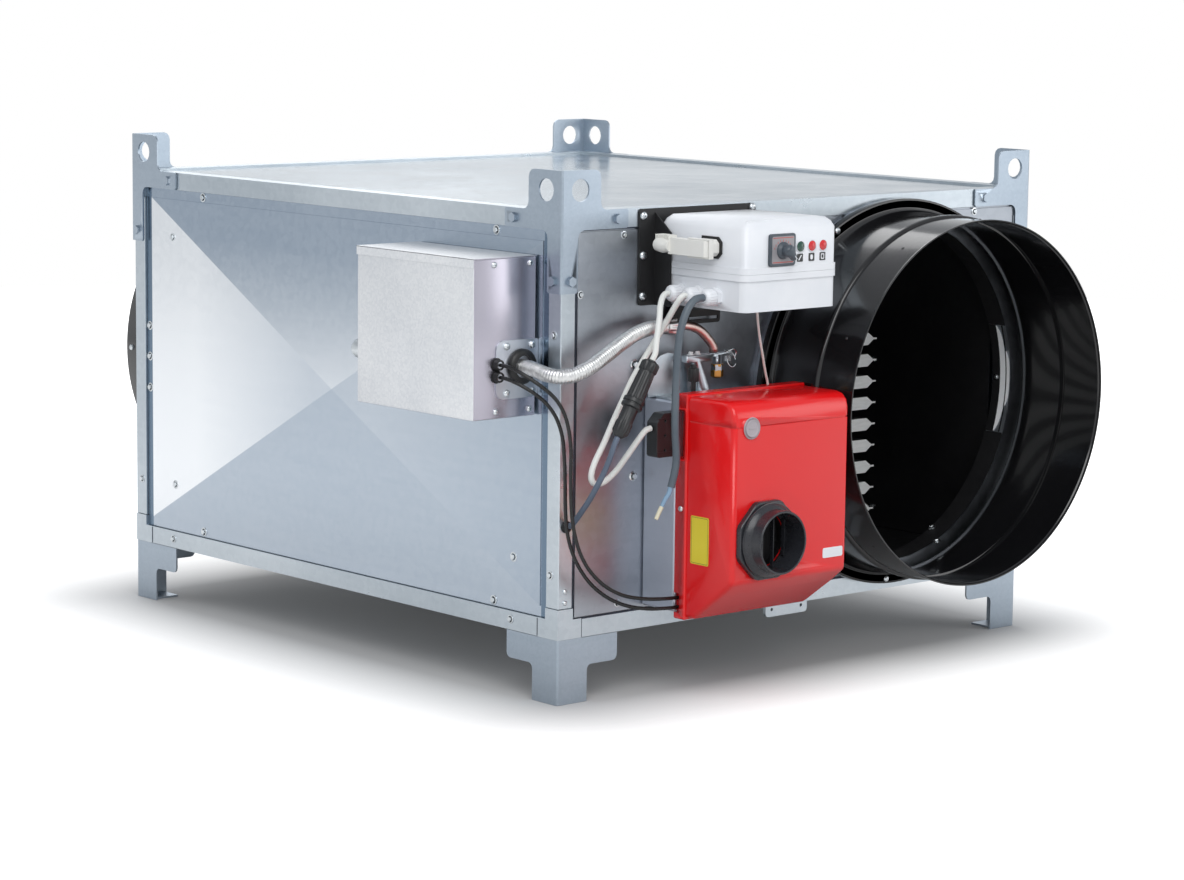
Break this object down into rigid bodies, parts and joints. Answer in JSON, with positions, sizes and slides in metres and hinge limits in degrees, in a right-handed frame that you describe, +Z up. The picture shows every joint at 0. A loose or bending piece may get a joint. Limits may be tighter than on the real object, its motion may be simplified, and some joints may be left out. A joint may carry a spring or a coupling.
{
  "type": "suspended air heater",
  "caption": "Suspended indirect-fired air heater: zinc-coated casing with lifting brackets and feet, red burner, control box, round black outlet collar and an inlet fan behind its guard.",
  "frame": {"origin": "middle of the whole heater seen from above, level with the soles of its feet", "axes": "+X to the right when facing the burner and outlet side, +Y from that side towards the fan and flue side, +Z up"},
  "size_m": [1.1948, 1.5443, 0.837],
  "materials": {
    "galvanised": "zinc-coated rail and bracket steel, satin with a faint blue cast",
    "galvanised_sheet": "zinc-coated sheet with a fine spangle, satin",
    "zinc_plate": "thick zinc-plated plate, smooth and slightly blue",
    "black_paint": "gloss black stove enamel",
    "red_paint": "gloss red enamel",
    "heated_steel": "dull heated steel",
    "black_plastic": "moulded black plastic",
    "button_plastic": "light grey plastic",
    "white_plastic": "white moulded plastic, semi-gloss",
    "grey_plastic": "dark grey plastic",
    "green_lens": "dark green lens, unlit",
    "red_lens": "red lens, unlit",
    "beige_plastic": "off-white plastic",
    "black_rubber": "black rubber and sheath",
    "foil": "ribbed foil hose",
    "copper_pipe": "bare copper pipe",
    "pale_sheath": "pale grey cable sheath",
    "blue_grey_sheath": "blue-grey cable sheath",
    "dark_sheath": "dark grey mains cable sheath"
  },
  "bodies": {
    "casing": {"base_frame": "galvanised", "top_frame": "galvanised", "post_front_left": "galvanised", "post_front_right": "galvanised", "post_rear_left": "galvanised", "post_rear_right": "galvanised", "front_panel": "galvanised_sheet", "rear_panel": "galvanised_sheet", "left_panel": "galvanised_sheet", "right_panel": "galvanised_sheet", "top_panel": "galvanised_sheet", "bottom_panel": "galvanised_sheet", "burner_mount": "galvanised_sheet", "thermostat_box": "galvanised_sheet", "gland_plate": "galvanised_sheet", "pipe_stand": "galvanised", "flue_spigot": "galvanised", "lifting_bracket_front_left": "zinc_plate", "lifting_bracket_front_right": "zinc_plate", "lifting_bracket_rear_left": "zinc_plate", "lifting_bracket_rear_right": "zinc_plate", "foot_front_left": "zinc_plate", "foot_front_right": "zinc_plate", "foot_rear_left": "zinc_plate", "foot_rear_right": "zinc_plate", "outlet_flange": "black_paint", "outlet_collar": "black_paint", "control_bracket": "black_paint", "fan_inlet_ring": "black_paint", "fan_guard": "black_paint", "fan_motor": "black_paint", "burner_cover": "red_paint", "burner_blast_tube": "heated_steel", "combustion_chamber": "heated_steel", "heat_exchanger": "heated_steel", "burner_air_intake": "black_plastic", "burner_plug": "black_plastic", "lead_connector": "black_plastic", "control_box": "white_plastic", "control_box_lid": "white_plastic", "switch_plate": "grey_plastic", "lamp_green": "green_lens", "lamp_red_left": "red_lens", "lamp_red_right": "red_lens", "thermostat_socket": "beige_plastic", "hose_grommet": "black_rubber", "foil_hose": "foil", "arch_pipe": "copper_pipe", "pale_lead": "pale_sheath", "burner_lead": "pale_sheath", "earth_lead": "pale_sheath", "sensor_lead": "blue_grey_sheath", "mains_lead": "dark_sheath", "limit_lead_upper": "black_rubber", "limit_lead_lower": "black_rubber"},
    "fan_impeller": {"fan_impeller": "black_paint"},
    "selector_knob": {"selector_knob": "grey_plastic"},
    "burner_reset_button": {"burner_reset_button": "button_plastic"},
    "thermostat_plug": {"thermostat_plug": "beige_plastic"},
    "locking_clip": {"locking_clip": "beige_plastic"}
  },
  "joints": [
    {"name": "fan_spin", "type": "hinge", "parent": "casing", "child": "fan_impeller", "pos_m": [-0.10235, 0.61715, 0.439], "axis": [0, 1, 0], "continuous": true},
    {"name": "selector_turn", "type": "hinge", "parent": "casing", "child": "selector_knob", "pos_m": [-0.20285, -0.73245, 0.717], "axis": [0, 1, 0], "range_deg": [-90, 0]},
    {"name": "reset_press", "type": "slide", "parent": "casing", "child": "burner_reset_button", "axis": [0, 1, 0], "range_m": [0, 0.003], "stiffness_N_per_m": 300},
    {"name": "plug_pull", "type": "slide", "parent": "casing", "child": "thermostat_plug", "axis": [-1, 0, 0], "range_m": [0, 0.025]},
    {"name": "clip_swing", "type": "hinge", "parent": "thermostat_plug", "child": "locking_clip", "pos_m": [-0.30145, -0.62885, 0.719], "axis": [0, 0, -1], "range_deg": [0, 70]}
  ]
}
